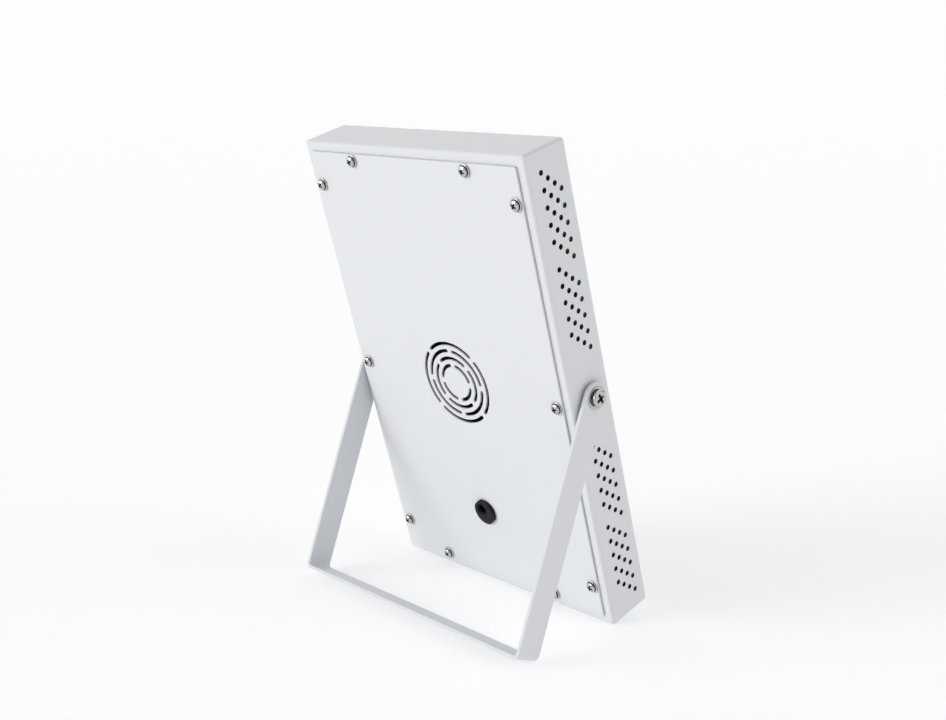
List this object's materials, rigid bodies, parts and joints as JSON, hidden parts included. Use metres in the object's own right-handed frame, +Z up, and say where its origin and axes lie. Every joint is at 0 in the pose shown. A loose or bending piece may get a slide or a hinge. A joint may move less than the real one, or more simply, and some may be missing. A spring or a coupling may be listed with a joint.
{
  "type": "fan-cooled light panel on a bail stand",
  "caption": "Slim fan-cooled light panel in a folded sheet case, standing on a U-shaped bail, with a screwed rear cover, ring grille and power inlet.",
  "frame": {"origin": "bottom centre of the bounding box, on the surface it stands on", "axes": "+Z up, +Y towards the lens side (front), +X to the right seen from the rear cover's side"},
  "size_m": [0.2044, 0.1212, 0.2955],
  "materials": {
    "case_paint": "fine satin powder coat, very pale grey",
    "nickel": "bright nickel plate",
    "zinc": "zinc plate",
    "aluminium": "mill finish",
    "board_white": "white solder mask on an aluminium core",
    "board_green": "green solder mask",
    "lens": "clear moulded acrylic",
    "black_plastic": "satin black moulding",
    "fan_plastic": "satin black moulding",
    "nylon": "black nylon",
    "core": "dark core, lacquered",
    "brass": "tinned or bare brass",
    "lead_black": "black insulation",
    "lead_red": "red insulation"
  },
  "bodies": {
    "panel": {"housing": "case_paint", "rear_cover": "case_paint", "inlet_body": "black_plastic", "inlet_nut": "black_plastic", "inlet_pin": "brass", "inlet_contact": "brass", "fan_bearing": "brass", "fan_frame": "fan_plastic", "fan_stator": "core", "heat_sink": "aluminium", "lamp_board": "board_white", "lens_plate": "lens", "driver_board": "board_green", "driver_inductor": "core", "driver_capacitor": "aluminium", "driver_connector": "nylon", "input_lead": "lead_black", "fan_lead": "lead_red", "cover_screw_01": "nickel", "cover_screw_02": "nickel", "cover_screw_03": "nickel", "cover_screw_04": "nickel", "cover_screw_05": "nickel", "cover_screw_06": "nickel", "cover_screw_07": "nickel", "cover_screw_08": "nickel", "cover_screw_09": "nickel", "cover_screw_10": "nickel", "pivot_screw_left": "nickel", "pivot_spring_washer_left": "nickel", "pivot_washer_left": "nickel", "pivot_spacer_left": "nylon", "pivot_nut_left": "zinc", "pivot_screw_right": "nickel", "pivot_spring_washer_right": "nickel", "pivot_washer_right": "nickel", "pivot_spacer_right": "nylon", "pivot_nut_right": "zinc", "fan_screw_1": "zinc", "sink_screw_1": "zinc", "fan_screw_2": "zinc", "sink_screw_2": "zinc", "fan_screw_3": "zinc", "sink_screw_3": "zinc", "fan_screw_4": "zinc", "sink_screw_4": "zinc", "stud_nut_1": "zinc", "stud_nut_2": "zinc", "stud_nut_3": "zinc", "stud_nut_4": "zinc", "stud_nut_5": "zinc", "stud_nut_6": "zinc", "driver_spacer_1": "zinc", "driver_screw_1": "zinc", "driver_spacer_2": "zinc", "driver_screw_2": "zinc"},
    "bail": {"bail_stand": "case_paint"},
    "rotor": {"fan_rotor": "fan_plastic", "fan_shaft": "nickel"}
  },
  "joints": [
    {"name": "bail_hinge", "type": "hinge", "parent": "panel", "child": "bail", "pos_m": [0, 0.00112, 0.14839], "axis": [1, 0, 0], "continuous": true},
    {"name": "fan_spin", "type": "hinge", "parent": "panel", "child": "rotor", "pos_m": [0, -0.01372, 0.14322], "axis": [0, 0.9561, 0.2929], "continuous": true}
  ]
}
